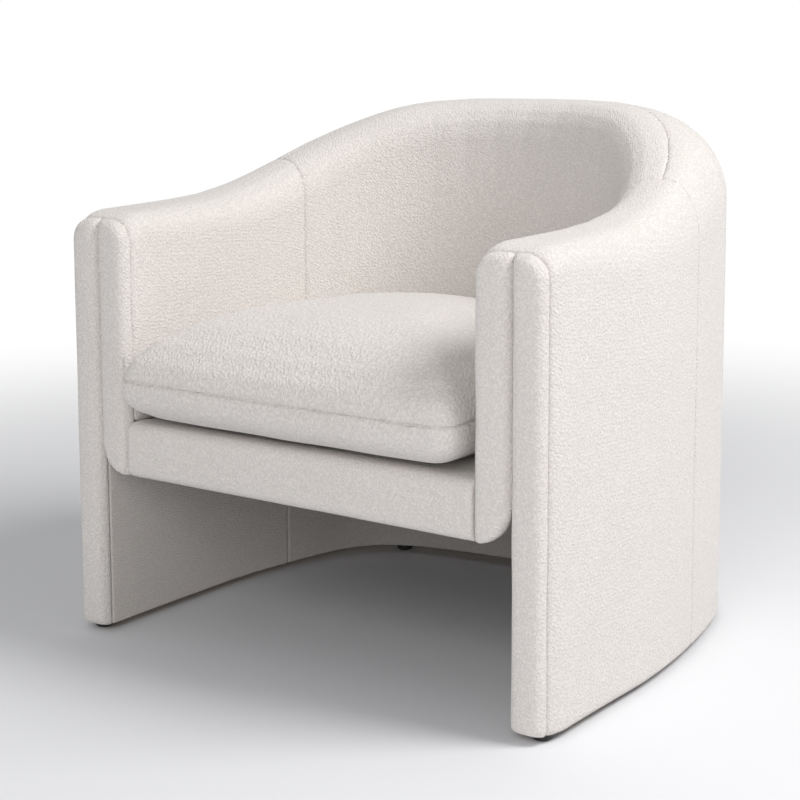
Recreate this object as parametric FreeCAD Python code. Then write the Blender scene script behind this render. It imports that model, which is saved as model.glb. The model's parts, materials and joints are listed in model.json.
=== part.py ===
import FreeCAD, Part
import math
import os

V = FreeCAD.Vector
Z_AXIS = V(0, 0, 1)

# Overall sizes of the chair, in millimetres.
width = 780.0
depth = 696.0
arm_height = 598.0
back_height = 738.0
upholstery_clearance = 11.0

# Wall thicknesses, from the outer face inwards.
arm_thickness = 110.0
leg_thickness = 54.0
back_thickness = 116.0
lower_back_thickness = 81.0

# Plan outlines: straight sides, a gentle arc, a corner arc and the arc of the back.
straight_side = 217.0
side_sweep = math.radians(15.0)
corner_sweep = math.radians(60.0)
outer_corner_radius = 181.0
lining_corner_radius = 140.0

# Top line of the wall in side view: the arm's line, an arc, a slope, an arc and the level top of the back.
arm_rise = 0.025
slope_rise = 0.45
slope_top_inset = 102.0
arm_arc_radius = 600.0
back_arc_radius = 260.0

# Rounding of the top edges. Along the back the outer one starts beside the seam, as a small arc and a large one.
front_shoulder = 28.0
inner_shoulder = 50.0
outer_fall = 110.0
shoulder_lean = math.radians(30.0)

# The arm seams' bearing behind the middle of the tub, and the seam along the top of the back.
arm_seam_bearing = math.radians(16.4)
top_seam_side_inset = 53.0
top_seam_back_inset = 46.0
top_seam_ledge = 3.0

# Covers and padding.
cover = 8.0
seam_gap = 0.4
foam_gap = 0.7
foam_inner = 14.0
foam_top = 24.0
lining = 7.0
panel_board = 3.0
board_gap = 1.2
inner_board_drop = 60.0
outer_board_drop = 120.0
outer_board_start = 49.0

# Padded bands on the front edges, and how far the panels behind them are drawn in.
band_depth = 18.0
band_flat = 16.0
tuck_depth = 50.0
outer_tuck = 7.0
inner_tuck = 4.0
top_tuck = 7.0

# Seat box and deck.
deck_height = 312.0
deck_crown = 6.0
deck_level_depth = 190.0
rail_bottom = 236.0
rail_face = 2.0
rail_padding = 15.0
rail_top_padding = 5.0
rail_edge_radius = 14.0
rail_cover_return = 42.0
deck_cover_thickness = 3.0
deck_edge_gap = 1.5
dust_cover_thickness = 1.5

# Wooden frame.
plywood = 18.0
frame_outer_inset = 18.0
frame_gap = 0.5
seat_rail_top = 300.0
seat_rail_reach = 34.0
seat_rail_height = 32.0
front_rail_depth = 20.0
front_rail_height = 58.0
top_rail_drop = 34.0
top_rail_thickness = 22.0
top_rail_outset = 20.0
middle_rib_depth = 200.0
back_rib_shares = (0.3, 0.5, 0.7)
corner_block_leg = 52.0
corner_block_margin = 4.0

# Webbing.
strap_width = 50.0
strap_thickness = 1.6
strap_gap = 0.4
strap_margin = 5.0
strap_landing = 16.0
long_strap_pitch = 96.0
cross_strap_depths = (95.0, 155.0, 250.0, 310.0, 430.0)

# Glides and their nails.
glide_radius = 12.5
glide_chamfer = 2.5
glide_side_inset = 22.7
glide_front_inset = 32.3
glide_back_bearing = math.radians(51.1)
glide_back_inset = 58.0
nail_radius = 1.6
nail_start = 4.0
nail_length = 13.0
hole_clearance = 0.05

# Seat cushion.
cushion_overhang = 34.0
cushion_side_gap = 9.0
cushion_back_gap = 17.0
cushion_corner_radius = 24.0
cushion_bow = 1.5
cushion_seam_height = 380.0
cushion_crown_height = 476.0
cushion_tilt = -0.05
cushion_bottom_gap = 0.5
cushion_cover = 4.0
cushion_foam_gap = 0.2

# Chords in place of each arc of a section across the wall, and of each arc round the cushion.
wall_chords = 4
cushion_chords = {"front": 4, "corner": 5, "back": 14}

# Zip across the cushion's back, below its seam.
zip_length = 380.0
zip_width = 20.0
zip_drop = 3.0
zip_recess = 2.6
zip_tape = 1.2
coil_width = 3.0
coil_rise = 1.8
slider_length = 11.0
slider_height = 9.0
slider_wall = 1.6
slider_gap = 0.4

# Places that follow from the sizes above. The origin is on the floor, under the middle of the whole chair.
front = (cushion_overhang - depth) / 2.0
half_width = width / 2.0
tub_half = half_width - arm_thickness
tub_centre = front + depth - back_thickness - tub_half
lining_half = half_width - leg_thickness
top_seam_radius = half_width - top_seam_side_inset
top_seam_centre = front + depth - top_seam_back_inset - top_seam_radius
slope_top_depth = depth - slope_top_inset
inner_cover_bottom = deck_height + seam_gap
seat_rail_bottom = seat_rail_top - seat_rail_height
board_face = cover + foam_gap + foam_inner + seam_gap
frame_face = board_face + panel_board + board_gap
cushion_half_width = tub_half - cushion_side_gap
cushion_back = front + depth - back_thickness - cushion_back_gap
cushion_centre = cushion_back - cushion_half_width
beyond = 60.0
quarter_turn = math.pi / 2


def line(a, b):
    return Part.LineSegment(a, b).toShape()


def arc(a, b, c):
    return Part.Arc(a, b, c).toShape()


def mirrored(edges):
    return [e.mirror(V(0, 0, 0), V(1, 0, 0)) for e in edges]


def wire_of(edges):
    return Part.Wire(Part.__sortEdges__(edges))


def barrel_arcs(half, length, corner_radius):
    """Radius and sweep of the three arcs of one half of a barrel, closed on its half width and length."""
    a = side_sweep
    b = side_sweep + corner_sweep
    across = half - corner_radius * (math.cos(a) - math.cos(b))
    along = length - straight_side - corner_radius * (math.sin(b) - math.sin(a))
    k = (1 - math.cos(a)) * (1 - math.sin(b)) - math.cos(b) * math.sin(a)
    side_radius = (across * (1 - math.sin(b)) - along * math.cos(b)) / k
    back_radius = (along * (1 - math.cos(a)) - across * math.sin(a)) / k
    return ((side_radius, side_sweep), (corner_radius, corner_sweep), (back_radius, quarter_turn - b))


def barrel(half, length, corner_radius, inset):
    """Open plan outline moved inwards, from the right front round to the left front."""
    x = half
    y = front + straight_side
    side = [line(V(x - inset, front, 0), V(x - inset, y, 0))]
    angle = 0.0
    for radius, sweep in barrel_arcs(half, length, corner_radius):
        cx = x - radius * math.cos(angle)
        cy = y - radius * math.sin(angle)
        turns = (angle, angle + sweep / 2, angle + sweep)
        points = [V(cx + (radius - inset) * math.cos(t), cy + (radius - inset) * math.sin(t), 0) for t in turns]
        side.append(arc(*points))
        angle += sweep
        x = cx + radius * math.cos(angle)
        y = cy + radius * math.sin(angle)
    return side + mirrored(side)


def outer_outline(inset):
    """Outside face of the chair."""
    return barrel(half_width, depth, outer_corner_radius, inset)


def lining_outline(outset):
    """Face of the lining under the seat."""
    return barrel(lining_half, depth - lower_back_thickness, lining_corner_radius, -outset)


def round_outline(half, centre):
    """Open plan outline with straight sides and a half round back, as two quarter arcs."""
    k = half * math.sqrt(0.5)
    side = [
        line(V(half, front, 0), V(half, centre, 0)),
        arc(V(half, centre, 0), V(k, centre + k, 0), V(0, centre + half, 0)),
    ]
    return side + mirrored(side)


def tub_outline(outset):
    """Inside face of the arms and back."""
    return round_outline(tub_half + outset, tub_centre)


def seam_outline():
    """Seam along the top of the back."""
    return round_outline(top_seam_radius, top_seam_centre)


def front_ends(wire):
    """The two ends of an open outline, on the front plane."""
    points = [v.Point for v in wire.Vertexes if abs(v.Y - front) < 0.001]
    points.sort(key=lambda p: p.x)
    return points[0], points[-1]


def ring(outside, inside, bottom, top):
    """Upright solid between two open outlines."""
    a = front_ends(wire_of(outside))
    b = front_ends(wire_of(inside))
    face = Part.Face(wire_of(outside + inside + [line(a[0], b[0]), line(a[1], b[1])]))
    face.translate(V(0, 0, bottom))
    return face.extrude(V(0, 0, top - bottom))


def filled(outline, bottom, top):
    """Upright solid inside one open outline, closed along the front plane."""
    ends = front_ends(wire_of(outline))
    face = Part.Face(wire_of(outline + [line(*ends)]))
    face.translate(V(0, 0, bottom))
    return face.extrude(V(0, 0, top - bottom))


def block(x0, x1, d0, d1, z0, z1):
    """Box between two widths, two depths behind the front plane and two heights."""
    return Part.makeBox(x1 - x0, d1 - d0, z1 - z0, V(x0, front + d0, z0))


def behind(d):
    """Tall box that keeps all that lies behind one depth."""
    return block(-width, width, d, 2 * depth, -beyond, back_height + beyond)


def back_wedge():
    """Tall wedge between the two arm seams, with its edge in the middle of the tub."""
    x = 2 * width
    y = tub_centre + x * math.tan(arm_seam_bearing)
    corners = [V(0, tub_centre, 0), V(x, y, 0), V(x, y + x, 0), V(-x, y + x, 0), V(-x, y, 0)]
    face = Part.Face(Part.makePolygon(corners + corners[:1]))
    face.translate(Z_AXIS * -beyond)
    return face.extrude(Z_AXIS * (back_height + 2 * beyond))


def split(whole, start):
    """Right, left and back lengths of a ring, parted at the arm seams."""
    arms = whole.cut(back_wedge()).common(behind(start))
    right = arms.common(block(0.0, width, 0.0, 2 * depth, -beyond, back_height + beyond))
    parts = pair(right)
    parts["back"] = whole.common(back_wedge())
    return parts


def pair(right):
    """A right-hand solid and its mirror image."""
    return {"right": right, "left": right.mirror(V(0, 0, 0), V(1, 0, 0))}


def on_arc(corner, rise_in, rise_out, radius, d):
    """Height of the arc that rounds a corner of the top line, or None outside its two ends."""
    a = math.atan(rise_in)
    b = math.atan(rise_out)
    side = 1 if b > a else -1
    reach = radius * math.tan(abs(b - a) / 2)
    start = corner[0] - reach * math.cos(a)
    end = corner[0] + reach * math.cos(b)
    if d <= start or d >= end:
        return None
    centre_d = start - side * radius * math.sin(a)
    centre_z = corner[1] - reach * math.sin(a) + side * radius * math.cos(a)
    return centre_z - side * math.sqrt(radius ** 2 - (d - centre_d) ** 2)


def crest(d):
    """Height of the top of the wall at one depth."""
    slope_start = (arm_height - back_height + slope_rise * slope_top_depth) / (slope_rise - arm_rise)
    low = (slope_start, arm_height + arm_rise * slope_start)
    high = (slope_top_depth, back_height)
    for corner, rise_in, rise_out, radius in (
        (low, arm_rise, slope_rise, arm_arc_radius),
        (high, slope_rise, 0.0, back_arc_radius),
    ):
        height = on_arc(corner, rise_in, rise_out, radius, d)
        if height is not None:
            return height
    if d <= low[0]:
        return arm_height + arm_rise * d
    return min(back_height, back_height + slope_rise * (d - slope_top_depth))


class Station:
    """An upright plane across the wall, with its foot on the tub's inner face and a heading outwards."""

    def __init__(self, foot, heading):
        self.foot = foot
        self.heading = V(math.cos(heading), math.sin(heading), 0)
        self.depth = foot.y - front
        self.thickness = self.reach(outer_outline(0.0))
        self.seam = self.reach(seam_outline())
        self.height = crest((foot + self.heading * self.seam).y - front)

    def reach(self, outline):
        """Distance from the inner face to an outline further out."""
        ray = line(self.foot, self.foot + self.heading * width)
        pairs = ray.distToShape(wire_of(outline))[1]
        return (pairs[0][0] - self.foot).Length

    def at(self, u, z):
        return self.foot + self.heading * u + Z_AXIS * z

    def growth(self, end):
        """0 at the front of the arm, 1 from the given depth on."""
        return min(1.0, max(0.0, (self.depth - tuck_depth) / (end - tuck_depth)))

    def tuck(self):
        """1 at the back of the front band, 0 from the tuck's end on."""
        if self.depth >= tuck_depth:
            return 0.0
        return ((tuck_depth - self.depth) / (tuck_depth - band_depth)) ** 2


def straight_station(d):
    """Section across the straight part of an arm."""
    return Station(V(tub_half, front + d, 0), 0.0)


def round_station(bearing):
    """Section on a line out of the middle of the tub."""
    foot = V(tub_half * math.cos(bearing), tub_centre + tub_half * math.sin(bearing), 0)
    return Station(foot, bearing)


def steps(start, end, count):
    """Evenly spaced values after the start, up to and with the end."""
    return [start + (end - start) * (i + 1) / count for i in range(count)]


def arm_stations(start):
    depths = [start, (start + tuck_depth) / 2, tuck_depth] + steps(tuck_depth, tub_centre - front, 4)
    return [straight_station(d) for d in depths] + [round_station(b) for b in steps(0.0, arm_seam_bearing, 2)]


def bearing_of(point):
    return math.atan2(point.y - tub_centre, point.x)


def back_stations():
    """Sections from the right arm seam to the left one, closer together round the rear corners."""
    arcs = outer_outline(0.0)[1:4]
    corner_start = bearing_of(arcs[1].firstVertex().Point)
    corner_end = bearing_of(arcs[1].lastVertex().Point)
    half = [arm_seam_bearing] + steps(arm_seam_bearing, corner_start, 2)
    half += steps(corner_start, corner_end, 5) + steps(corner_end, quarter_turn, 3)
    return [round_station(b) for b in half + [math.pi - b for b in half[-2::-1]]]


def outer_curve(side, fall):
    """Five places (in from the face, down from the top) on the outer shoulder, from the top to the face."""
    t = math.tan(shoulder_lean / 2)
    fall = min(fall, 0.9 * side / t)
    small = (side - fall * t) / (1 - t)
    large = (fall - small) / math.sin(shoulder_lean) + small
    x = large - (large - small) * math.cos(shoulder_lean)
    z = (large - small) * math.sin(shoulder_lean)
    turns = (quarter_turn, (quarter_turn + shoulder_lean) / 2)
    places = [(x - small * math.cos(a), z + small * math.sin(a)) for a in turns]
    places += [(large - large * math.cos(a), large * math.sin(a)) for a in (shoulder_lean, shoulder_lean / 2, 0.0)]
    return [(a, fall - b) for a, b in places]


def shoulders(station, inner, outer, drop):
    """Points over the top of the wall, inset from its inner face, outer face and top, from inside to outside."""
    along = station.growth(tub_centre - front + tub_half * math.sin(arm_seam_bearing))
    around = station.growth(depth - back_thickness)
    r = front_shoulder + (inner_shoulder - front_shoulder) * along - inner
    outer_shoulder = station.thickness - station.seam - top_seam_ledge
    side = front_shoulder + (outer_shoulder - front_shoulder) * along - outer
    fall = front_shoulder + (outer_fall - front_shoulder) * around - outer
    u = inner + inner_tuck * station.tuck()
    end = station.thickness - outer - outer_tuck * station.tuck()
    top = station.height - drop - top_tuck * station.tuck()
    k = r * (1 - math.sqrt(0.5))
    points = [station.at(u, top - r), station.at(u + k, top - k), station.at(u + r, top)]
    return points + [station.at(end - a, top - b) for a, b in outer_curve(side, fall)]


def arc_points(a, b, c, count):
    """Ends of the chords of the arc from a through b to c, without a itself."""
    return arc(a, b, c).discretize(count + 1)[1:]


def inner_run(p, bottom, end):
    """Points up the inner face and over the inner shoulder to a point on the top."""
    return [V(p[0].x, p[0].y, bottom), p[0]] + arc_points(p[0], p[1], p[2], wall_chords) + [end]


def outer_run(p, bottom):
    """Points over the outer shoulder and down the outer face."""
    over = arc_points(p[3], p[4], p[5], wall_chords) + arc_points(p[5], p[6], p[7], wall_chords)
    return over + [V(p[7].x, p[7].y, bottom)]


def ends_of(edge):
    return edge.valueAt(edge.FirstParameter), edge.valueAt(edge.LastParameter)


def closed(a, b):
    """One wire from two open runs of edges that go the same way."""
    starts = line(ends_of(b[0])[0], ends_of(a[0])[0])
    stops = line(ends_of(a[-1])[1], ends_of(b[-1])[1])
    return wire_of(a + [stops] + b[::-1] + [starts])


def loft(wires):
    return Part.makeLoft(wires, True, True)


def flat_face(points):
    return Part.Face(Part.makePolygon(points + points[:1]))


def skin(sections):
    """Solid through closed rows of points, with flat facets from each row to the next."""
    faces = [flat_face(sections[0]), flat_face(sections[-1])]
    for a, b in zip(sections, sections[1:]):
        for i in range(len(a)):
            faces.append(flat_face([a[i - 1], a[i], b[i]]))
            faces.append(flat_face([a[i - 1], b[i], b[i - 1]]))
    solid = Part.Solid(Part.Shell(faces))
    if solid.Volume < 0:
        solid.reverse()
    return solid.removeSplitter()


def arm_cover_section(station):
    """Outside run of points and the same run moved in by the cover's thickness, as one closed row."""
    runs = []
    for inset in (0.0, cover):
        p = shoulders(station, inset, inset, inset)
        runs.append(inner_run(p, inner_cover_bottom, p[3]) + outer_run(p, upholstery_clearance))
    return runs[0] + runs[1][::-1]


def foam_section(station):
    """Padding over the top and down the inner face, under the cover."""
    skin_depth = cover + foam_gap
    p = shoulders(station, skin_depth, skin_depth, skin_depth)
    outside = inner_run(p, inner_cover_bottom, p[3])
    under = station.height - skin_depth - foam_top
    low = station.at(skin_depth + foam_inner, inner_cover_bottom)
    corner = station.at(skin_depth + foam_inner, under)
    return outside + [V(p[3].x, p[3].y, under), corner, low]


def seam_point(station, p):
    """Where the top seam crosses the top between the two shoulders."""
    reach_start = (V(p[2].x, p[2].y, 0) - station.foot).Length
    reach_end = (V(p[3].x, p[3].y, 0) - station.foot).Length
    share = (station.seam - reach_start) / (reach_end - reach_start)
    return p[2] + (p[3] - p[2]) * min(0.95, max(0.05, share))


def outside_back_section(station):
    runs = []
    for inset in (0.0, cover):
        p = shoulders(station, inset, inset, inset)
        runs.append([seam_point(station, p), p[3]] + outer_run(p, upholstery_clearance))
    return runs[0] + runs[1][::-1]


def inside_back_section(station):
    runs = []
    for inset in (0.0, cover):
        p = shoulders(station, inset, inset, inset)
        runs.append(inner_run(p, inner_cover_bottom, seam_point(station, p)))
    return runs[0] + runs[1][::-1]


def slab_section(station, u0, u1, z0, z1):
    """Upright rectangle across the wall."""
    return [station.at(u0, z0), station.at(u1, z0), station.at(u1, z1), station.at(u0, z1)]


def slabs(section, start):
    """Right, left and back lengths of a piece with the same section all along."""
    parts = pair(skin([section(s) for s in arm_stations(start)]))
    parts["back"] = skin([section(s) for s in back_stations()])
    return parts


def inner_board_section(station):
    bottom = inner_cover_bottom
    return slab_section(station, board_face, board_face + panel_board, bottom, station.height - inner_board_drop)


def outer_board_section(station):
    face = station.thickness - frame_outer_inset + board_gap + panel_board
    bottom = upholstery_clearance + plywood + frame_gap
    return slab_section(station, face - panel_board, face, bottom, station.height - outer_board_drop)


def top_rail_section(station):
    """Plate under the top padding, level across the wall, out to a little past the line of the top seam."""
    top = station.height - top_rail_drop
    return slab_section(station, frame_face, station.seam + top_rail_outset, top - top_rail_thickness, top)


def band_insets():
    """Depth behind the front and drawing-in of the rounded face of a front band."""
    steps = (1.0, 0.6, 0.33, 0.14, 0.03, 0.0)
    return [(band_depth * s, band_flat * (1 - math.sqrt(1 - (1 - s) ** 2))) for s in steps]


def outer_roll():
    """Upright padded band on the front edge of the leg and arm, outside the groove."""
    wires = []
    for d, inset in band_insets():
        y = front + d
        left = lining_half + seam_gap / 2 + inset
        right = half_width - outer_tuck - 0.8 * inset
        top = crest(0.0) - top_tuck - inset
        bottom = upholstery_clearance + 0.3 * inset
        r = front_shoulder * (1 - 0.5 * inset / band_flat)
        k = r * (1 - math.sqrt(0.5))
        p = [V(left, y, bottom), V(left, y, top), V(right - r, y, top), V(right - k, y, top - k)]
        p += [V(right, y, top - r), V(right, y, bottom)]
        edges = [line(p[0], p[1]), line(p[1], p[2]), arc(p[2], p[3], p[4]), line(p[4], p[5]), line(p[5], p[0])]
        wires.append(Part.Wire(edges))
    return loft(wires)


def inner_roll():
    """Padded band on the inner half of the arm's front, which turns under the seat rail at its foot."""
    wires = []
    for d, inset in band_insets():
        y = front + d
        left = tub_half + inner_tuck + 0.9 * inset
        right = lining_half - seam_gap / 2 - inset
        top = crest(0.0) - top_tuck - inset
        bottom = rail_bottom + 0.3 * inset
        r = front_shoulder * (1 - 0.6 * inset / band_flat)
        k = r * (1 - math.sqrt(0.5))
        foot = right - left
        m = math.sqrt(0.5)
        p = [V(left, y, bottom), V(left, y, top - r), V(left + k, y, top - k), V(left + r, y, top)]
        p += [V(right, y, top), V(right, y, bottom + foot)]
        turn = V(left + foot * m, y, bottom + foot * (1 - m))
        edges = [line(p[0], p[1]), arc(p[1], p[2], p[3]), line(p[3], p[4]), line(p[4], p[5]), arc(p[5], turn, p[0])]
        wires.append(Part.Wire(edges))
    return loft(wires)


def rounded_front(d0, d1, z0, z1, r):
    """Side-view outline with rounded front corners, at x = 0."""
    k = r * (1 - math.sqrt(0.5))
    y0 = front + d0
    y1 = front + d1
    return [
        line(V(0, y1, z0), V(0, y0 + r, z0)),
        arc(V(0, y0 + r, z0), V(0, y0 + k, z0 + k), V(0, y0, z0 + r)),
        line(V(0, y0, z0 + r), V(0, y0, z1 - r)),
        arc(V(0, y0, z1 - r), V(0, y0 + k, z1 - k), V(0, y0 + r, z1)),
        line(V(0, y0 + r, z1), V(0, y1, z1)),
    ]


def front_rail_cover():
    """Padded cover of the front rail: face, top return and bottom return in one panel."""
    inner_bottom = seat_rail_top - front_rail_height - seam_gap
    inner_top = seat_rail_top + rail_top_padding
    outside = rounded_front(rail_face, rail_cover_return, rail_bottom, deck_height, rail_edge_radius)
    inside = rounded_front(rail_face + rail_padding, rail_cover_return, inner_bottom, inner_top, 2.0)
    face = Part.Face(closed(outside, inside))
    half = tub_half + inner_tuck - seam_gap
    face.translate(V(-half, 0, 0))
    return face.extrude(V(2 * half, 0, 0))


def deck_profile(lift):
    """Side-view top line of the deck: it rises from the rail seam and runs level to the back."""
    start_depth = rail_cover_return + seam_gap
    middle_depth = (start_depth + deck_level_depth) / 2
    start = V(0, front + start_depth, deck_height - 1.0 + lift)
    middle = V(0, front + middle_depth, deck_height + 0.75 * deck_crown + lift)
    end = V(0, front + deck_level_depth, deck_height + deck_crown + lift)
    back = V(0, front + depth, deck_height + deck_crown + lift)
    return [arc(start, middle, end), line(end, back)]


def deck_layer(low, high):
    """Sheet or pad between two side-view lines, inside the tub."""
    face = Part.Face(closed(low, high))
    face.translate(V(-width, 0, 0))
    slab = face.extrude(V(2 * width, 0, 0))
    return slab.common(filled(tub_outline(-deck_edge_gap), 0.0, back_height))


def seat_deck():
    pad_bottom = seat_rail_top + rail_top_padding + seam_gap
    points = [V(0, front + d, pad_bottom) for d in (rail_cover_return + seam_gap, deck_level_depth, depth)]
    base = [line(points[0], points[1]), line(points[1], points[2])]
    pad = deck_layer(base, deck_profile(-deck_cover_thickness))
    sheet = deck_layer(deck_profile(-deck_cover_thickness), deck_profile(0.0))
    return pad, sheet


def rib(station, top_rail):
    """Stepped plywood rib: narrow in the leg, wide above the seat, scribed to the top rail."""
    low = station.reach(lining_outline(0.0))
    outer = station.thickness - cover
    base = upholstery_clearance + plywood
    under_rail = station.height - top_rail_drop - top_rail_thickness
    high = under_rail + top_rail_thickness / 3
    corners = [(low, base), (outer, base), (outer, under_rail - outer_fall)]
    corners += [(station.seam + top_rail_outset, high)]
    corners += [(frame_face, high), (frame_face, seat_rail_top), (low, seat_rail_top)]
    points = [station.at(u, z) for u, z in corners]
    face = Part.Face(Part.makePolygon(points + points[:1]))
    across = V(-station.heading.y, station.heading.x, 0) * plywood
    face.translate(across * -0.5)
    leg_space = filled(lining_outline(lining + frame_gap), 0.0, seat_rail_top)
    wall_space = filled(outer_outline(frame_outer_inset), 0.0, back_height)
    return face.extrude(across).common(wall_space).cut(top_rail).cut(leg_space)


def base_rails():
    """Floor plate of the wall in three lengths that meet at the arm seams."""
    outside = outer_outline(frame_outer_inset)
    inside = lining_outline(lining + frame_gap)
    whole = ring(outside, inside, upholstery_clearance, upholstery_clearance + plywood)
    return split(whole, band_depth + frame_gap)


def linings():
    """Padded panels on the inside of the legs and of the lower back."""
    whole = ring(lining_outline(lining), lining_outline(0.0), upholstery_clearance, seat_rail_bottom - frame_gap)
    return split(whole, band_depth)


def front_rail_start():
    return rail_face + rail_padding + 1.0


def seat_box():
    """Front rail, curved side and back rails, and corner blocks."""
    start = front_rail_start()
    end = start + front_rail_depth
    inner = lining_half - seat_rail_reach
    front_rail = block(-inner, inner, start, end, seat_rail_top - front_rail_height, seat_rail_top)
    outside = lining_outline(lining)
    inside = lining_outline(-seat_rail_reach)
    rails = split(ring(outside, inside, seat_rail_bottom, seat_rail_top), start)
    leg = corner_block_leg
    corner = [V(inner, front + end, 0), V(inner - leg, front + end, 0), V(inner, front + end + leg, 0)]
    face = Part.Face(Part.makePolygon(corner + corner[:1]))
    face.translate(V(0, 0, seat_rail_bottom + corner_block_margin))
    gusset = face.extrude(V(0, 0, seat_rail_height - 2 * corner_block_margin))
    return front_rail, rails, pair(gusset)


def strap_line():
    """Where the webbing ends on the seat rails."""
    return wire_of(lining_outline(strap_landing - seat_rail_reach))


def crossing(start, end):
    """Where a straight line from inside the seat meets the strap line."""
    return line(start, end).distToShape(strap_line())[1][0][0]


def long_straps():
    """Webbing from the front rail to the back rail."""
    solids = []
    z = seat_rail_top
    for i in (-2, -1, 0, 1, 2):
        x = i * long_strap_pitch
        edge = abs(x) + strap_width / 2
        start = front_rail_start() + strap_margin
        end = crossing(V(edge, tub_centre, 0), V(edge, tub_centre + depth, 0)).y - front
        solids.append(block(x - strap_width / 2, x + strap_width / 2, start, end, z, z + strap_thickness))
    return Part.makeCompound(solids)


def cross_straps():
    """Webbing from side to side, over and under the long straps in turn."""
    solids = []
    rise = strap_thickness + strap_gap
    flat = strap_width / 2 + strap_margin
    for row, d in enumerate(cross_strap_depths):
        sides = (front + d - strap_width / 2, front + d + strap_width / 2)
        end = min(crossing(V(0, y, 0), V(width, y, 0)).x for y in sides)
        run = [(-end, 0.0)]
        for i in (-2, -1, 0, 1, 2):
            x = i * long_strap_pitch
            up = rise if (i + row) % 2 == 0 else -rise
            run += [(x - flat, up), (x + flat, up)]
        run.append((end, 0.0))
        run += [(strap_landing - end, 0.0), (end - strap_landing, 0.0)]
        low = [V(x, sides[0], seat_rail_top + z) for x, z in sorted(set(run))]
        high = [p + Z_AXIS * strap_thickness for p in low][::-1]
        face = Part.Face(Part.makePolygon(low + high + low[:1]))
        solids.append(face.extrude(V(0, strap_width, 0)))
    return Part.makeCompound(solids)


def dust_cover():
    """Cloth stapled under the seat rails."""
    top = seat_rail_bottom - 0.1
    sheet = filled(lining_outline(-frame_gap), top - dust_cover_thickness, top)
    return sheet.common(behind(front_rail_start() + front_rail_depth + frame_gap))


def glide_places():
    x = half_width - glide_side_inset
    y = front + glide_front_inset
    back = round_station(glide_back_bearing)
    rear = back.at(back.thickness - glide_back_inset, 0.0)
    return [V(x, y, 0), V(-x, y, 0), rear, V(-rear.x, rear.y, 0)]


def glide(place):
    """Chamfered plastic foot with a nail moulded into it."""
    h = upholstery_clearance
    r = glide_radius
    c = glide_chamfer
    corners = [V(0, 0, 0), V(r - c, 0, 0), V(r, 0, c), V(r, 0, h), V(0, 0, h)]
    body = Part.Face(Part.makePolygon(corners + corners[:1])).revolve(V(0, 0, 0), Z_AXIS, 360)
    socket = Part.makeCylinder(nail_radius + hole_clearance, h, Z_AXIS * (nail_start - hole_clearance))
    body = body.cut(socket)
    body.translate(place)
    return body


def glide_nail(place):
    length = upholstery_clearance + nail_length - nail_start
    return Part.makeCylinder(nail_radius, length, place + Z_AXIS * nail_start)


def nail_hole(place):
    r = nail_radius + hole_clearance
    return Part.makeCylinder(r, nail_length + hole_clearance, place + Z_AXIS * upholstery_clearance)


def cushion_outline(scale, z, tilt, inset):
    """Closed plan outline of the cushion at one level: bowed front, round front corners, half round back."""
    half = cushion_half_width - inset
    back_y = cushion_back - inset
    y0 = front - cushion_overhang + inset
    y1 = y0 + cushion_bow
    r = cushion_corner_radius - inset
    k = r * (1 - math.sqrt(0.5))
    m = half * math.sqrt(0.5)
    centre = cushion_centre
    middle = V(0, (y0 + back_y) / 2, 0)

    def place(x, y):
        q = middle + (V(x, y, 0) - middle) * scale
        return V(q.x, q.y, z + tilt * (q.y - middle.y))

    count = cushion_chords
    points = arc_points(place(r - half, y1), place(0, y0), place(half - r, y1), count["front"])
    points += arc_points(place(half - r, y1), place(half - k, y1 + k), place(half, y1 + r), count["corner"])
    points.append(place(half, centre))
    points += arc_points(place(half, centre), place(m, centre + m), place(0, back_y), count["back"])
    points += arc_points(place(0, back_y), place(-m, centre + m), place(-half, centre), count["back"])
    points.append(place(-half, y1 + r))
    return points + arc_points(place(-half, y1 + r), place(k - half, y1 + k), place(r - half, y1), count["corner"])


def cushion_top(inset):
    """Crowned upper half, which rises steeply from the seam and rounds over to a low dome."""
    shares = (0.0, 0.2, 0.42, 0.64, 0.83, 0.95, 0.99)
    rise = cushion_crown_height - inset - cushion_seam_height
    levels = []
    for s in shares:
        scale = (1 - s ** 1.6) ** (1 / 2.5)
        levels.append(cushion_outline(scale, cushion_seam_height + rise * s, cushion_tilt * s, inset))
    return skin(levels)


def cushion_bottom(inset):
    """Lower half, upright below the seam and drawn in to the deck."""
    bottom = deck_height + deck_crown + cushion_bottom_gap + inset
    sink = cushion_seam_height - bottom
    levels = ((1.0, 1.0), (1.0, 0.55), (0.965, 0.36), (0.9, 0.17), (0.79, 0.0))
    return skin([cushion_outline(scale, bottom + share * sink, 0.0, inset) for scale, share in levels])


def back_strip(inner, outer, height, z, length, turn):
    """Curved strip on the cushion's back: radii from its face, middle height, length and turn from the middle."""
    r = cushion_half_width
    sweep = math.degrees(length / r)
    start = math.degrees(quarter_turn) - sweep / 2 + turn
    foot = V(0, cushion_centre, z - height / 2)
    strip = Part.makeCylinder(r + outer, height, foot, Z_AXIS, sweep).cut(Part.makeCylinder(r + inner, height, foot))
    strip.rotate(foot, Z_AXIS, start)
    return strip


def zip_height():
    return cushion_seam_height - zip_drop - zip_width / 2


def zip_recess_cut():
    return back_strip(-zip_recess, 1.0, zip_width, zip_height(), zip_length, 0.0)


def cushion_zip():
    """Tape with one coil, let into the cover."""
    z = zip_height()
    tape_face = zip_tape - zip_recess
    tape = back_strip(-zip_recess, tape_face, zip_width, z, zip_length, 0.0)
    coil = back_strip(tape_face - 0.1, tape_face + coil_rise, coil_width, z, zip_length - 2 * slider_length, 0.0)
    return tape.fuse(coil).removeSplitter()


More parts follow.
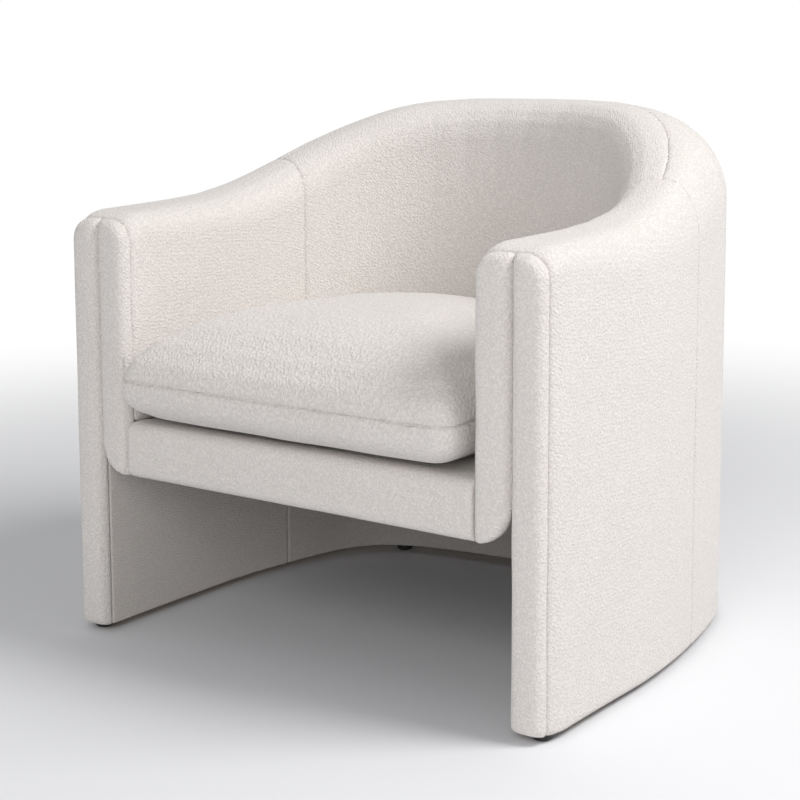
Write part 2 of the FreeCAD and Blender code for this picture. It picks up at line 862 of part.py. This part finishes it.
def zip_slider():
    """Slider without a pull tab, over the coil at its right-hand end."""
    z = zip_height()
    face = zip_tape - zip_recess + slider_gap
    inner = face + coil_rise
    turn = -math.degrees((zip_length - 3 * slider_length) / 2 / cushion_half_width)
    body = back_strip(face, inner + slider_wall, slider_height, z, slider_length, turn)
    channel = back_strip(face - 0.1, inner, coil_width + 2 * slider_gap, z, slider_length + 2.0, turn)
    return body.cut(channel)


def write(name, shape):
    shape.exportStep("parts/" + name + ".step")
    print(name, "solids", len(shape.Solids), "valid", shape.isValid(), "volume %.0f" % shape.Volume)


def write_lengths(parts, side_name, back_name):
    for side, solid in parts.items():
        write(back_name if side == "back" else side + side_name, solid)


def write_covers():
    arm = pair(skin([arm_cover_section(s) for s in arm_stations(band_depth)]))
    write_lengths(arm, "_arm_cover", "")
    write_lengths(slabs(foam_section, band_depth + frame_gap), "_arm_foam", "inside_back_foam")
    write("outside_back_cover", skin([outside_back_section(s) for s in back_stations()]))
    write("inside_back_cover", skin([inside_back_section(s) for s in back_stations()]))
    write_lengths(pair(outer_roll()), "_outer_front_band", "")
    write_lengths(pair(inner_roll()), "_inner_front_band", "")
    write("front_rail_cover", front_rail_cover())
    pad, sheet = seat_deck()
    write("deck_pad", pad)
    write("deck_cover", sheet)
    write_lengths(linings(), "_leg_lining", "lower_back_lining")
    write_lengths(slabs(inner_board_section, band_depth + frame_gap), "_inside_arm_board", "inside_back_board")
    write_lengths(slabs(outer_board_section, outer_board_start), "_outside_arm_board", "outside_back_board")
    write("dust_cover", dust_cover())


def write_frame():
    top_rails = slabs(top_rail_section, band_depth + frame_gap)
    write_lengths(top_rails, "_arm_rail", "back_top_rail")
    half_rib = math.asin((plywood / 2 + frame_gap) / tub_half)
    arm_ribs = {
        "front": straight_station(band_depth + frame_gap + plywood / 2),
        "middle": straight_station(middle_rib_depth),
        "rear": round_station(arm_seam_bearing - half_rib),
    }
    for name, station in arm_ribs.items():
        for side, solid in pair(rib(station, top_rails["right"])).items():
            write(side + "_" + name + "_rib", solid)
    for name, share in zip(("right", "centre", "left"), back_rib_shares):
        bearing = arm_seam_bearing + share * (math.pi - 2 * arm_seam_bearing)
        write("back_" + name + "_rib", rib(round_station(bearing), top_rails["back"]))
    nail_holes = Part.makeCompound([nail_hole(p) for p in glide_places()])
    rails = {side: rail.cut(nail_holes) for side, rail in base_rails().items()}
    write_lengths(rails, "_base_rail", "back_base_rail")
    front_rail, rails, gussets = seat_box()
    write("seat_front_rail", front_rail)
    write_lengths(rails, "_seat_rail", "seat_back_rail")
    write("corner_blocks", Part.makeCompound(list(gussets.values())))
    write("long_webbing", long_straps())
    write("cross_webbing", cross_straps())
    write("glides", Part.makeCompound([glide(p) for p in glide_places()]))
    write("glide_nails", Part.makeCompound([glide_nail(p) for p in glide_places()]))


def write_cushion():
    write("cushion_top_cover", cushion_top(0.0).cut(cushion_top(cushion_cover)))
    lower = cushion_bottom(0.0).cut(cushion_bottom(cushion_cover))
    write("cushion_lower_cover", lower.cut(zip_recess_cut()))
    inset = cushion_cover + cushion_foam_gap
    write("cushion_foam", cushion_top(inset).fuse(cushion_bottom(inset)).removeSplitter())
    write("cushion_zip", cushion_zip())
    write("zip_slider", zip_slider())


def main():
    os.makedirs("parts", exist_ok=True)
    write_covers()
    write_frame()
    write_cushion()


main()
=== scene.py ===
import json
import math

import bpy
from mathutils import Matrix, Vector, noise


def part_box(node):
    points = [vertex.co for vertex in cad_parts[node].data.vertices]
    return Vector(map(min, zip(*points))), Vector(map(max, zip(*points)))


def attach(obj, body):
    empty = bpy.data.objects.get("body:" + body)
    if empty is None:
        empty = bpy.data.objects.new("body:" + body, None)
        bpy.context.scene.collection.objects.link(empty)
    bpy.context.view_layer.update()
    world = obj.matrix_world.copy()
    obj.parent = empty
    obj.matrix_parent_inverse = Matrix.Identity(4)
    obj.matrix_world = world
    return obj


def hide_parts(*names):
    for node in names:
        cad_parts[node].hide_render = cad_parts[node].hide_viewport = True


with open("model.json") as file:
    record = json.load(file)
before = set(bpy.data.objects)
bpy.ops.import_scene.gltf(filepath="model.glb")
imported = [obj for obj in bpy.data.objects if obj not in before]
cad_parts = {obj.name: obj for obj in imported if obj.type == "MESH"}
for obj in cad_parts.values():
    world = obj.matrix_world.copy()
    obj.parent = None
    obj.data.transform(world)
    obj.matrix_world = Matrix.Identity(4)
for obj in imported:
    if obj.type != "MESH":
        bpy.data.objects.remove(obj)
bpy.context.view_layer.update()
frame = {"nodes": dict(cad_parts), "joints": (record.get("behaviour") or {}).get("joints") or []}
nodes = frame["nodes"]


# Arm and back covers. Cream boucle cloth over a thin wadding, cut as two arm panels, an outside back
# and an inside back, and sewn together along plain seams. They are pulled tight over the foam and
# the boards and stapled under the floor plate.
cover_voxel = 0.0045
cover_smooth_rounds = 5
cover_wave_height = 0.0009
cover_wave_length = 0.16
cover_wave_seed_step = 7.3
cover_swell = 0.0018
weld_distance = 0.0001
cover_nodes = ("left_arm_cover", "right_arm_cover", "outside_back_cover", "inside_back_cover")


def only(piece):
    """Makes this piece the only one that is selected."""
    bpy.ops.object.select_all(action="DESELECT")
    bpy.context.view_layer.objects.active = piece
    piece.select_set(True)


def copied(node, name):
    """A copy of one CAD node's mesh with its loose triangles joined."""
    piece = bpy.data.objects.new(name, nodes[node].data.copy())
    piece.data.materials.clear()
    bpy.context.scene.collection.objects.link(piece)
    only(piece)
    bpy.ops.object.mode_set(mode="EDIT")
    bpy.ops.mesh.select_all(action="SELECT")
    bpy.ops.mesh.remove_doubles(threshold=weld_distance)
    bpy.ops.object.mode_set(mode="OBJECT")
    return piece


def even_mesh(piece, voxel):
    """A new mesh of even faces over the whole piece."""
    only(piece)
    piece.data.remesh_voxel_size = voxel
    bpy.ops.object.voxel_remesh()


def ease(piece, rounds):
    """Rounds the edges as wadding rounds them."""
    only(piece)
    rounding = piece.modifiers.new("rounding", "SMOOTH")
    rounding.factor = 0.5
    rounding.iterations = rounds
    bpy.ops.object.modifier_apply(modifier="rounding")
    bpy.ops.object.shade_smooth()


def soften(piece, voxel, rounds):
    """An even mesh with soft edges."""
    even_mesh(piece, voxel)
    ease(piece, rounds)


def hand_pulled(piece, height, length, seed, swell=0.0):
    """Cloth pulled by hand over padding: a little uneven, and swelled out by the padding."""
    shift = Vector((seed, 0, 0))
    places = [
        v.co + v.normal * (swell + height * noise.noise(v.co / length + shift))
        for v in piece.data.vertices
    ]
    for vertex, place in zip(piece.data.vertices, places):
        vertex.co = place


def boucle(name, colour, loop_size, relief, twill):
    """Looped wool cloth: small uneven loops over a faint diagonal weave, with painted shade where the
    loops and weave sit low.
    """
    material = bpy.data.materials.new(name)
    material.use_nodes = True
    tree = material.node_tree
    shader = tree.nodes["Principled BSDF"]
    place = tree.nodes.new("ShaderNodeTexCoord")
    loops = tree.nodes.new("ShaderNodeTexVoronoi")
    loops.feature = "SMOOTH_F1"
    loops.inputs["Scale"].default_value = 1 / loop_size
    loops.inputs["Randomness"].default_value = 0.9
    fuzz = tree.nodes.new("ShaderNodeTexNoise")
    fuzz.inputs["Scale"].default_value = 0.7 / loop_size
    fuzz.inputs["Detail"].default_value = 5.0
    turned = tree.nodes.new("ShaderNodeMapping")
    turned.inputs["Rotation"].default_value = (math.radians(38), math.radians(33), math.radians(20))
    weave = tree.nodes.new("ShaderNodeTexWave")
    weave.inputs["Scale"].default_value = 0.24 / loop_size
    weave.inputs["Distortion"].default_value = 5.0
    weave.inputs["Detail"].default_value = 2.0
    tree.links.new(place.outputs["Object"], loops.inputs["Vector"])
    tree.links.new(place.outputs["Object"], fuzz.inputs["Vector"])
    tree.links.new(place.outputs["Object"], turned.inputs["Vector"])
    tree.links.new(turned.outputs["Vector"], weave.inputs["Vector"])
    pile = tree.nodes.new("ShaderNodeMath")
    pile.operation = "MULTIPLY_ADD"
    pile.inputs[1].default_value = -1.0
    tree.links.new(loops.outputs["Distance"], pile.inputs[0])
    tree.links.new(fuzz.outputs["Fac"], pile.inputs[2])
    woven = tree.nodes.new("ShaderNodeMath")
    woven.operation = "MULTIPLY_ADD"
    woven.inputs[1].default_value = twill
    tree.links.new(weave.outputs["Fac"], woven.inputs[0])
    tree.links.new(pile.outputs["Value"], woven.inputs[2])
    bump = tree.nodes.new("ShaderNodeBump")
    bump.inputs["Strength"].default_value = relief
    bump.inputs["Distance"].default_value = 0.45 * loop_size
    tree.links.new(woven.outputs["Value"], bump.inputs["Height"])
    tree.links.new(bump.outputs["Normal"], shader.inputs["Normal"])
    # The colour darkens where the loops and the weave sit low: painted shade in the hollows between the
    # loops.
    tones = tree.nodes.new("ShaderNodeValToRGB")
    tones.color_ramp.elements[0].position = 0.0
    tones.color_ramp.elements[1].position = 0.75
    tones.color_ramp.elements[0].color = [0.76 * c for c in colour] + [1.0]
    tones.color_ramp.elements[1].color = list(colour) + [1.0]
    tree.links.new(woven.outputs["Value"], tones.inputs["Fac"])
    patches = tree.nodes.new("ShaderNodeTexNoise")
    patches.inputs["Scale"].default_value = 9.0
    patches.inputs["Detail"].default_value = 3.0
    tree.links.new(place.outputs["Object"], patches.inputs["Vector"])
    shade = tree.nodes.new("ShaderNodeMixRGB")
    shade.blend_type = "MULTIPLY"
    shade.inputs["Color2"].default_value = (0.965, 0.96, 0.95, 1.0)
    tree.links.new(patches.outputs["Fac"], shade.inputs["Fac"])
    tree.links.new(tones.outputs["Color"], shade.inputs["Color1"])
    tree.links.new(shade.outputs["Color"], shader.inputs["Base Color"])
    shader.inputs["Roughness"].default_value = 0.95
    shader.inputs["Specular IOR Level"].default_value = 0.15
    shader.inputs["Sheen Weight"].default_value = 0.25
    shader.inputs["Sheen Roughness"].default_value = 0.6
    return material


cream_boucle = boucle("cream_boucle", (0.895, 0.853, 0.822), loop_size=0.0025, relief=1.0, twill=0.12)


def dressed(piece, material, slot, body, *replaced):
    """The piece with its cloth and body, in place of the CAD nodes that it stands for. The slot argument
    is not used.
    """
    piece.data.materials.clear()
    piece.data.materials.append(material)
    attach(piece, body)
    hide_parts(*replaced)
    return piece


for number, node in enumerate(cover_nodes):
    panel = copied(node, node + "_cloth")
    soften(panel, cover_voxel, cover_smooth_rounds)
    seed = cover_wave_seed_step * number
    hand_pulled(panel, cover_wave_height, cover_wave_length, seed, cover_swell)
    dressed(panel, cream_boucle, "boucle", "chair", node)


# Front bands. Two half-round padded strips cover the front edge of each arm and leg, with a sewn groove
# between them. The outer one runs to the floor and the inner one turns under the seat rail.
band_voxel = 0.0035
band_smooth_rounds = 14
band_wave_height = 0.0007
band_wave_length = 0.07
band_wave_seed = 31.0
band_wave_seed_step = 5.1
band_swell = 0.0012
band_nodes = (
    "left_outer_front_band",
    "right_outer_front_band",
    "left_inner_front_band",
    "right_inner_front_band",
)

for number, node in enumerate(band_nodes):
    band = copied(node, node + "_cloth")
    soften(band, band_voxel, band_smooth_rounds)
    seed = band_wave_seed + band_wave_seed_step * number
    hand_pulled(band, band_wave_height, band_wave_length, seed, band_swell)
    dressed(band, cream_boucle, "boucle", "chair", node)


# Seat rail cover. One padded panel goes round the front rail: under it, up its face and back over its
# top to the deck cloth, with softly rounded edges.
rail_voxel = 0.004
rail_smooth_rounds = 8
rail_wave_height = 0.0008
rail_wave_length = 0.11
rail_wave_seed = 60.0
rail_swell = 0.0008

rail_panel = copied("front_rail_cover", "front_rail_cover_cloth")
soften(rail_panel, rail_voxel, rail_smooth_rounds)
hand_pulled(rail_panel, rail_wave_height, rail_wave_length, rail_wave_seed, rail_swell)
dressed(rail_panel, cream_boucle, "boucle", "chair", "front_rail_cover")


# Leg and lower back linings. Thin padded panels on the inside of the wall under the seat, sewn to the arm
# and back covers at the floor and meeting in an upright seam on each side.
lining_voxel = 0.0035
lining_smooth_rounds = 4
lining_wave_height = 0.0007
lining_wave_length = 0.13
lining_wave_seed = 80.0
lining_wave_seed_step = 4.4
lining_nodes = ("left_leg_lining", "right_leg_lining", "lower_back_lining")
lining_cloth = boucle("lining_cloth", (0.85, 0.80, 0.76), loop_size=0.0019, relief=0.5, twill=0.25)

for number, node in enumerate(lining_nodes):
    lining = copied(node, node + "_cloth")
    soften(lining, lining_voxel, lining_smooth_rounds)
    seed = lining_wave_seed + lining_wave_seed_step * number
    hand_pulled(lining, lining_wave_height, lining_wave_length, seed)
    dressed(lining, lining_cloth, "lining_cloth", "chair", node)


# Deck cloth. A plain woven cloth over the seat pad, sewn to the rail cover at the front and tucked down
# all round the back and arms. The loose cushion lies on it.
deck_cuts = 3
sheet_smooth_angle = math.radians(40)


def fine_sheet(node, name, cuts):
    """A thin sheet with enough faces to bend, and smooth sides."""
    piece = copied(node, name)
    only(piece)
    bpy.ops.object.mode_set(mode="EDIT")
    bpy.ops.mesh.select_all(action="SELECT")
    bpy.ops.mesh.subdivide(number_cuts=cuts)
    bpy.ops.object.mode_set(mode="OBJECT")
    bpy.ops.object.shade_smooth_by_angle(angle=sheet_smooth_angle)
    return piece


deck_cloth = boucle("deck_cloth", (0.80, 0.775, 0.735), loop_size=0.0012, relief=0.3, twill=0.8)
deck = fine_sheet("deck_cover", "deck_cover_cloth", deck_cuts)
dressed(deck, deck_cloth, "deck_cloth", "chair", "deck_cover")


# Dust cover. Thin black non-woven cloth stapled under the seat rails, pulled flat, so that it sags only a
# little between them.
dust_cuts = 2


def spunbond(name, colour):
    """Non-woven cloth: pressed fibres with a fine grid of bonded dots."""
    material = bpy.data.materials.new(name)
    material.use_nodes = True
    tree = material.node_tree
    shader = tree.nodes["Principled BSDF"]
    place = tree.nodes.new("ShaderNodeTexCoord")
    fibres = tree.nodes.new("ShaderNodeTexNoise")
    fibres.inputs["Scale"].default_value = 700.0
    fibres.inputs["Detail"].default_value = 6.0
    dots = tree.nodes.new("ShaderNodeTexVoronoi")
    dots.inputs["Scale"].default_value = 500.0
    dots.inputs["Randomness"].default_value = 0.1
    tree.links.new(place.outputs["Object"], fibres.inputs["Vector"])
    tree.links.new(place.outputs["Object"], dots.inputs["Vector"])
    mixed = tree.nodes.new("ShaderNodeMath")
    mixed.operation = "ADD"
    tree.links.new(fibres.outputs["Fac"], mixed.inputs[0])
    tree.links.new(dots.outputs["Distance"], mixed.inputs[1])
    bump = tree.nodes.new("ShaderNodeBump")
    bump.inputs["Strength"].default_value = 0.3
    bump.inputs["Distance"].default_value = 0.0004
    tree.links.new(mixed.outputs["Value"], bump.inputs["Height"])
    tree.links.new(bump.outputs["Normal"], shader.inputs["Normal"])
    tones = tree.nodes.new("ShaderNodeValToRGB")
    tones.color_ramp.elements[0].color = [0.6 * c for c in colour] + [1.0]
    tones.color_ramp.elements[1].color = list(colour) + [1.0]
    tree.links.new(mixed.outputs["Value"], tones.inputs["Fac"])
    tree.links.new(tones.outputs["Color"], shader.inputs["Base Color"])
    shader.inputs["Roughness"].default_value = 0.9
    return material


dust = fine_sheet("dust_cover", "dust_cover_cloth", dust_cuts)
black_spunbond = spunbond("black_spunbond", (0.035, 0.035, 0.035))
dressed(dust, black_spunbond, "dust_cloth", "chair", "dust_cover")


# Loose seat cushion. A boucle cover filled tightly by its foam core, with one plain seam round it at
# mid height and a zip across its back. It is crowned on top and drawn in at the bottom.
cushion_seam_height = 0.380
cushion_voxel = 0.0066
cushion_pressure = 4.0
cushion_stretch_stiffness = 15
cushion_bend_stiffness = 0.5
cushion_frames = 20
cushion_swell_cap = 0.008
cushion_ease_rounds = 6
cushion_cover_build = 0.0054
cushion_last_rounds = 2
seam_groove_depth = 0.0032
seam_groove_width = 0.0014
seam_loop_step = 0.5 * seam_groove_width
seam_reach = 4 * seam_groove_width
seam_side_facing = 0.5
pucker_depth = 0.0006
pucker_width = 3 * seam_groove_width
puckers_per_metre = 70.0
cushion_wave_height = 0.0013
cushion_wave_length = 0.09
cushion_wave_seed = 11.0
zip_recess = 0.004

cushion = copied("cushion_foam", "seat_cushion_cover")
even_mesh(cushion, cushion_voxel)
foam_face = [(v.co.copy(), v.normal.copy()) for v in cushion.data.vertices]
cloth = cushion.modifiers.new("fill", "CLOTH")
cloth.settings.use_pressure = True
cloth.settings.uniform_pressure_force = cushion_pressure
cloth.settings.tension_stiffness = cushion_stretch_stiffness
cloth.settings.compression_stiffness = cushion_stretch_stiffness
cloth.settings.bending_stiffness = cushion_bend_stiffness
cloth.settings.effector_weights.gravity = 0
for number in range(1, cushion_frames + 1):
    bpy.context.scene.frame_set(number)
shaped = cushion.evaluated_get(bpy.context.evaluated_depsgraph_get())
swollen = [v.co.copy() for v in shaped.data.vertices]
cushion.modifiers.clear()
bpy.context.scene.frame_set(1)
for vertex, (start, outward), place in zip(cushion.data.vertices, foam_face, swollen):
    move = place - start
    if move.length > cushion_swell_cap:
        move = move * (cushion_swell_cap / move.length)
    vertex.co = start + move
ease(cushion, cushion_ease_rounds)
for vertex, (start, outward) in zip(cushion.data.vertices, foam_face):
    vertex.co += outward * max(0.0, cushion_cover_build - (vertex.co - start).dot(outward))
ease(cushion, cushion_last_rounds)
finer = cushion.modifiers.new("finer", "SUBSURF")
finer.levels = finer.render_levels = 1
only(cushion)
bpy.ops.object.modifier_apply(modifier="finer")
bpy.ops.object.mode_set(mode="EDIT")
for step in (-2, -1, 0, 1, 2):
    bpy.ops.mesh.select_all(action="SELECT")
    level = (0, 0, cushion_seam_height + step * seam_loop_step)
    bpy.ops.mesh.bisect(plane_co=level, plane_no=(0, 0, 1))
bpy.ops.object.mode_set(mode="OBJECT")
facing = [v.normal.copy() for v in cushion.data.vertices]
for vertex, normal in zip(cushion.data.vertices, facing):
    off = abs(vertex.co.z - cushion_seam_height)
    if off < seam_reach and math.hypot(normal.x, normal.y) > seam_side_facing:
        groove = math.exp(-((off / seam_groove_width) ** 2))
        along = noise.noise(vertex.co * puckers_per_metre)
        pucker = pucker_depth * along * math.exp(-((off / pucker_width) ** 2))
        vertex.co -= normal * (seam_groove_depth * groove + pucker)
hand_pulled(cushion, cushion_wave_height, cushion_wave_length, cushion_wave_seed)
zip_low, zip_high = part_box("cushion_zip")
zip_middle = frame["joints"][1]["pos_m"][1]
zip_radius = zip_high[1] - zip_middle
sunk_radius = zip_radius - zip_recess
for vertex in cushion.data.vertices:
    reach = math.hypot(vertex.co.x, vertex.co.y - zip_middle)
    in_height = zip_low[2] < vertex.co.z < zip_high[2]
    in_width = vertex.co.y > zip_middle and abs(vertex.co.x) < zip_high[0]
    if in_height and in_width and reach > sunk_radius:
        inward = sunk_radius / reach
        vertex.co.x *= inward
        vertex.co.y = zip_middle + (vertex.co.y - zip_middle) * inward
only(cushion)
bpy.ops.object.shade_smooth()
coarse_boucle = boucle("cushion_boucle", (0.89, 0.848, 0.817), loop_size=0.0034, relief=1.0, twill=0.1)
dressed(cushion, coarse_boucle, "boucle", "seat_cushion", "cushion_top_cover", "cushion_lower_cover")


# Zip and slider. A woven tape with a nylon coil is sewn into the cushion's back, and a small cast slider
# without a pull tab runs along the coil.
def plain_finish(name, colour, rough, metal, grain, relief, contrast):
    """Finish with a fine even grain, such as moulded plastic, cast metal, foam or board."""
    material = bpy.data.materials.new(name)
    material.use_nodes = True
    tree = material.node_tree
    shader = tree.nodes["Principled BSDF"]
    place = tree.nodes.new("ShaderNodeTexCoord")
    speck = tree.nodes.new("ShaderNodeTexNoise")
    speck.inputs["Scale"].default_value = 1 / grain
    speck.inputs["Detail"].default_value = 6.0
    tree.links.new(place.outputs["Object"], speck.inputs["Vector"])
    tones = tree.nodes.new("ShaderNodeValToRGB")
    tones.color_ramp.elements[0].position = 0.3
    tones.color_ramp.elements[1].position = 0.7
    tones.color_ramp.elements[0].color = [contrast * c for c in colour] + [1.0]
    tones.color_ramp.elements[1].color = list(colour) + [1.0]
    tree.links.new(speck.outputs["Fac"], tones.inputs["Fac"])
    tree.links.new(tones.outputs["Color"], shader.inputs["Base Color"])
    bump = tree.nodes.new("ShaderNodeBump")
    bump.inputs["Strength"].default_value = relief
    bump.inputs["Distance"].default_value = grain
    tree.links.new(speck.outputs["Fac"], bump.inputs["Height"])
    tree.links.new(bump.outputs["Normal"], shader.inputs["Normal"])
    shader.inputs["Roughness"].default_value = rough
    shader.inputs["Metallic"].default_value = metal
    return material


def finish_nodes(material, *names):
    """Gives CAD nodes that stay visible their finish."""
    for name in names:
        for place in nodes[name].material_slots:
            place.material = material


zip_tape = boucle("zip_tape", (0.80, 0.78, 0.74), loop_size=0.0009, relief=0.3, twill=0.9)
finish_nodes(zip_tape, "cushion_zip")
cast_slider = plain_finish(
    "cast_slider", (0.70, 0.68, 0.64), rough=0.45, metal=0.0, grain=0.0006, relief=0.1, contrast=0.92
)
finish_nodes(cast_slider, "zip_slider")


# Glides. Black moulded plastic feet, each on a nail driven up into the floor plate.
black_plastic = plain_finish(
    "black_plastic", (0.022, 0.022, 0.022), rough=0.5, metal=0.0, grain=0.0008, relief=0.12, contrast=0.8
)
finish_nodes(black_plastic, "glides")
nail_steel = plain_finish(
    "nail_steel", (0.56, 0.56, 0.57), rough=0.35, metal=1.0, grain=0.0005, relief=0.08, contrast=0.9
)
finish_nodes(nail_steel, "glide_nails")


# Padding and webbing inside. Foam over the boards, a foam pad on the webbing and a foam core in the
# cushion, with woven elastic straps stapled to the seat rails.
foam_nodes = ("left_arm_foam", "right_arm_foam", "inside_back_foam", "deck_pad", "cushion_foam")
foam_finish = plain_finish(
    "foam", (0.80, 0.74, 0.55), rough=0.95, metal=0.0, grain=0.0011, relief=0.5, contrast=0.85
)
finish_nodes(foam_finish, *foam_nodes)
webbing = boucle("webbing", (0.30, 0.24, 0.15), loop_size=0.0016, relief=0.5, twill=1.0)
finish_nodes(webbing, "long_webbing", "cross_webbing")


# Wooden frame inside. Plywood ribs stand on the floor plates and carry the top rails and the seat rails,
# and thin hardboard panels close the wall's two faces under the padding.
def plywood(name, light, dark):
    """Rotary-cut veneer with long soft grain and darker edge plies."""
    material = bpy.data.materials.new(name)
    material.use_nodes = True
    tree = material.node_tree
    shader = tree.nodes["Principled BSDF"]
    place = tree.nodes.new("ShaderNodeTexCoord")
    long_way = tree.nodes.new("ShaderNodeMapping")
    long_way.inputs["Scale"].default_value = (1.0, 1.0, 0.12)
    grain = tree.nodes.new("ShaderNodeTexNoise")
    grain.inputs["Scale"].default_value = 60.0
    grain.inputs["Detail"].default_value = 8.0
    grain.inputs["Distortion"].default_value = 1.2
    plies = tree.nodes.new("ShaderNodeTexWave")
    plies.inputs["Scale"].default_value = 90.0
    plies.inputs["Distortion"].default_value = 0.8
    tree.links.new(place.outputs["Object"], long_way.inputs["Vector"])
    tree.links.new(long_way.outputs["Vector"], grain.inputs["Vector"])
    tree.links.new(place.outputs["Object"], plies.inputs["Vector"])
    mixed = tree.nodes.new("ShaderNodeMath")
    mixed.operation = "MULTIPLY_ADD"
    mixed.inputs[1].default_value = 0.25
    tree.links.new(plies.outputs["Fac"], mixed.inputs[0])
    tree.links.new(grain.outputs["Fac"], mixed.inputs[2])
    tones = tree.nodes.new("ShaderNodeValToRGB")
    tones.color_ramp.elements[0].position = 0.35
    tones.color_ramp.elements[1].position = 0.8
    tones.color_ramp.elements[0].color = list(dark) + [1.0]
    tones.color_ramp.elements[1].color = list(light) + [1.0]
    tree.links.new(mixed.outputs["Value"], tones.inputs["Fac"])
    tree.links.new(tones.outputs["Color"], shader.inputs["Base Color"])
    bump = tree.nodes.new("ShaderNodeBump")
    bump.inputs["Strength"].default_value = 0.15
    bump.inputs["Distance"].default_value = 0.0008
    tree.links.new(mixed.outputs["Value"], bump.inputs["Height"])
    tree.links.new(bump.outputs["Normal"], shader.inputs["Normal"])
    shader.inputs["Roughness"].default_value = 0.7
    return material


frame_wood = plywood("birch_plywood", light=(0.60, 0.44, 0.27), dark=(0.42, 0.28, 0.15))
finish_nodes(frame_wood, *(n for n in nodes if n.endswith("_rib")))
finish_nodes(frame_wood, *(n for n in nodes if n.endswith("_rail")), "corner_blocks")
hardboard = plain_finish(
    "hardboard", (0.36, 0.25, 0.15), rough=0.8, metal=0.0, grain=0.002, relief=0.2, contrast=0.7
)
finish_nodes(hardboard, *(n for n in nodes if n.endswith("_board")))


# Studio. A pale floor that fades to plain white further out, one large lamp high on the right, a softer
# one in front, and an even white sky.
floor_size = 40
sky_strength = 0.40


def floor_paint(name, colour, near, far):
    """Pale paint that keeps the chair's shadow. Further out the camera sees it as plain white."""
    material = bpy.data.materials.new(name)
    material.use_nodes = True
    tree = material.node_tree
    shader = tree.nodes["Principled BSDF"]
    shader.inputs["Base Color"].default_value = (*colour, 1.0)
    shader.inputs["Roughness"].default_value = 0.9
    shader.inputs["Specular IOR Level"].default_value = 0.1
    place = tree.nodes.new("ShaderNodeTexCoord")
    distance = tree.nodes.new("ShaderNodeVectorMath")
    distance.operation = "LENGTH"
    tree.links.new(place.outputs["Object"], distance.inputs[0])
    fade = tree.nodes.new("ShaderNodeMapRange")
    fade.interpolation_type = "SMOOTHSTEP"
    fade.inputs["From Min"].default_value = near
    fade.inputs["From Max"].default_value = far
    tree.links.new(distance.outputs["Value"], fade.inputs["Value"])
    seen = tree.nodes.new("ShaderNodeLightPath")
    share = tree.nodes.new("ShaderNodeMath")
    share.operation = "MULTIPLY"
    tree.links.new(fade.outputs["Result"], share.inputs[0])
    tree.links.new(seen.outputs["Is Camera Ray"], share.inputs[1])
    white = tree.nodes.new("ShaderNodeEmission")
    both = tree.nodes.new("ShaderNodeMixShader")
    tree.links.new(share.outputs["Value"], both.inputs["Fac"])
    tree.links.new(shader.outputs["BSDF"], both.inputs[1])
    tree.links.new(white.outputs["Emission"], both.inputs[2])
    tree.links.new(both.outputs["Shader"], tree.nodes["Material Output"].inputs["Surface"])
    return material


bpy.ops.mesh.primitive_plane_add(size=floor_size, location=(0, 0, 0))
floor = bpy.context.object
floor.name = "studio_floor"
floor.data.materials.append(floor_paint("floor_paint", (0.78, 0.79, 0.815), near=0.8, far=2.6))

world = bpy.data.worlds.new("studio")
bpy.context.scene.world = world
world.use_nodes = True
sky = world.node_tree
background = sky.nodes["Background"]
ray = sky.nodes.new("ShaderNodeLightPath")
strength = sky.nodes.new("ShaderNodeMix")
strength.inputs["A"].default_value = sky_strength
strength.inputs["B"].default_value = 1.0
sky.links.new(ray.outputs["Is Camera Ray"], strength.inputs["Factor"])
sky.links.new(strength.outputs["Result"], background.inputs["Strength"])
background.inputs["Color"].default_value = (1.0, 1.0, 1.0, 1.0)


def lamp(name, place, target, size, power, colour):
    """A round soft lamp at a place, turned towards a target."""
    data = bpy.data.lights.new(name, "AREA")
    data.shape = "DISK"
    data.size = size
    data.energy = power
    data.color = colour
    light = bpy.data.objects.new(name, data)
    light.location = place
    light.rotation_euler = (Vector(target) - Vector(place)).to_track_quat("-Z", "Y").to_euler()
    bpy.context.scene.collection.objects.link(light)


lamp(
    "key_lamp",
    place=(2.35, 0.6, 3.0), target=(0, 0, 0.35), size=1.8, power=97.0, colour=(1.0, 0.985, 0.97),
)
lamp(
    "front_lamp",
    place=(1.0, -3.0, 1.7), target=(0, 0, 0.4), size=2.0, power=37.0, colour=(1.0, 0.99, 0.985),
)


# Camera. A long lens a little above the back's height looks slightly down at the chair's front from its
# right side, with the upright lines kept upright by the shift.
camera_data = bpy.data.cameras.new("camera")
camera_data.sensor_width = 36.0
camera_data.lens = 82.88
camera_data.shift_y = -0.15
camera = bpy.data.objects.new("camera", camera_data)
bpy.context.scene.collection.objects.link(camera)
camera_place = (1.4702, -2.1258, 0.8589)
bearing = math.radians(35.6885)
pitch = math.radians(7.9981)
roll = math.radians(-0.1668)
over_ground = Vector((-math.sin(bearing), math.cos(bearing), 0)) * math.cos(pitch)
ahead = over_ground - Vector((0, 0, math.sin(pitch)))
level = ahead.cross(Vector((0, 0, 1))).normalized()
upward = level.cross(ahead)
right_way = level * math.cos(roll) + upward * math.sin(roll)
up_way = upward * math.cos(roll) - level * math.sin(roll)
turn = Matrix((right_way, up_way, -ahead)).transposed().to_4x4()
camera.matrix_world = Matrix.Translation(camera_place) @ turn
bpy.context.scene.camera = camera
bpy.context.scene.view_settings.view_transform = "Standard"
